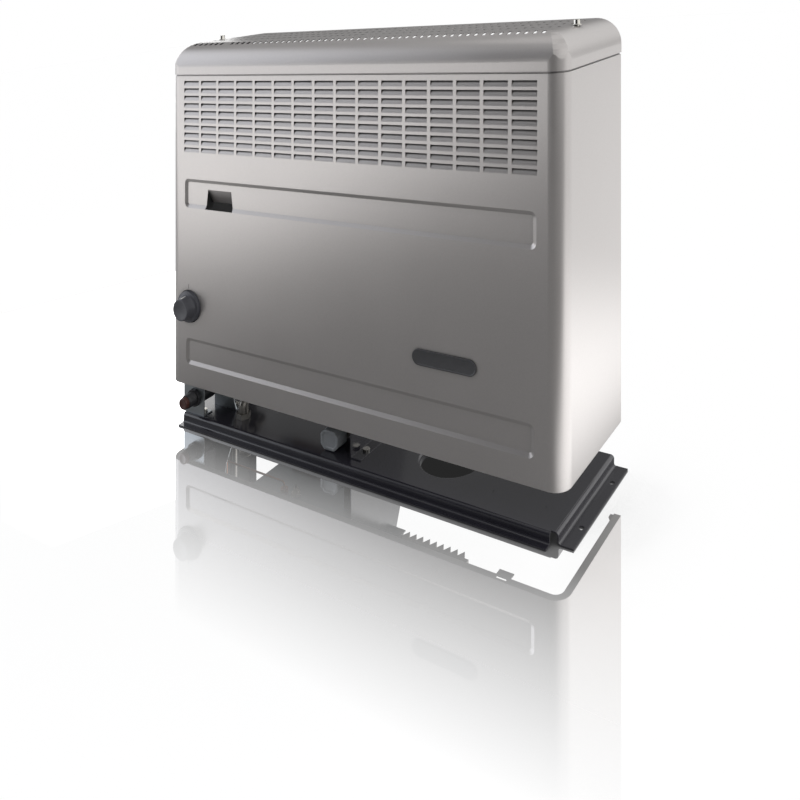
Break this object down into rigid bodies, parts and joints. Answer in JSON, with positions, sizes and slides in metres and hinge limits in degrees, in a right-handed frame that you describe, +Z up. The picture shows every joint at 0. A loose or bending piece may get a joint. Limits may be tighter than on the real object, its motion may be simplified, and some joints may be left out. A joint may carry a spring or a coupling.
{
  "type": "wall mounted gas heater",
  "caption": "Gas space heater: louvred metal cover with slotted rounded lid, pressed bands, side knob and push igniter, over a fluted heat exchanger on a black floor tray.",
  "frame": {"origin": "centre of the four floor screw holes, on the floor plane under the tray", "axes": "+Z up, -Y out of the front that carries the knob, +Y into the wall, +X to the right seen from the front"},
  "size_m": [0.5906, 0.172, 0.5187],
  "materials": {
    "cover_paint": "satin metallic champagne-grey powder coat",
    "tray_enamel": "semi-gloss black enamel",
    "zinc_sheet": "bright zinc-plated sheet",
    "bare_steel": "plain bright steel",
    "heat_steel": "heat-dulled aluminised steel",
    "die_cast": "sand-blasted die casting",
    "brass": "turned",
    "copper": "drawn copper",
    "knob_plastic": "moulded anthracite thermoset",
    "igniter_plastic": "moulded black nylon",
    "button_plastic": "moulded red-brown nylon",
    "badge_plastic": "moulded anthracite",
    "ceramic": "glazed ceramic",
    "gasket_fibre": "pressed mineral fibre",
    "bright_fixing": "bright nickel plate",
    "grey_cap": "moulded grey"
  },
  "bodies": {
    "base": {"base_tray": "tray_enamel", "support_leg": "tray_enamel", "valve_bracket": "zinc_sheet", "igniter_bracket": "zinc_sheet", "bracket_screws": "bright_fixing", "igniter_barrel": "igniter_plastic", "ring_nut": "igniter_plastic", "gas_valve": "die_cast", "inlet_elbow": "bare_steel", "inlet_pipe": "bare_steel", "pipe_nuts": "bare_steel", "feed_pipe": "bare_steel", "injector": "brass", "burner_tube": "heat_steel", "burner_box": "zinc_sheet", "air_elbow": "heat_steel", "air_elbow_cap": "grey_cap", "spark_electrode": "bare_steel", "electrode_insulator": "ceramic", "thermocouple": "copper", "sensor_bulb": "copper", "exchanger_front": "heat_steel", "exchanger_rear": "heat_steel", "seam_gasket": "gasket_fibre", "seam_bolts": "bright_fixing", "heat_shield": "zinc_sheet", "flue_spigot": "heat_steel", "cross_rail": "zinc_sheet", "rail_clips": "bare_steel"},
    "cover": {"casing": "cover_paint", "lid": "cover_paint", "lid_brackets": "zinc_sheet", "lid_screws": "bright_fixing", "badge_plate": "badge_plastic", "corner_gussets": "cover_paint"},
    "bush": {"spindle_bush": "brass"},
    "knob": {"knob": "knob_plastic", "spindle": "brass"},
    "button": {"igniter_button": "button_plastic"}
  },
  "joints": [
    {"name": "cover_pull", "type": "slide", "parent": "base", "child": "cover", "axis": [0, -1, 0], "range_m": [0, 0.2]},
    {"name": "knob_push", "type": "slide", "parent": "base", "child": "bush", "axis": [0, 1, 0], "range_m": [0, 0.005], "stiffness_N_per_m": 900, "springref_m": -0.003},
    {"name": "knob_turn", "type": "hinge", "parent": "bush", "child": "knob", "pos_m": [-0.26, -0.08, 0.1597], "axis": [0, -1, 0], "range_deg": [0, 270]},
    {"name": "igniter_press", "type": "slide", "parent": "base", "child": "button", "axis": [0, 1, 0], "range_m": [0, 0.0045], "stiffness_N_per_m": 1500, "springref_m": -0.003}
  ]
}
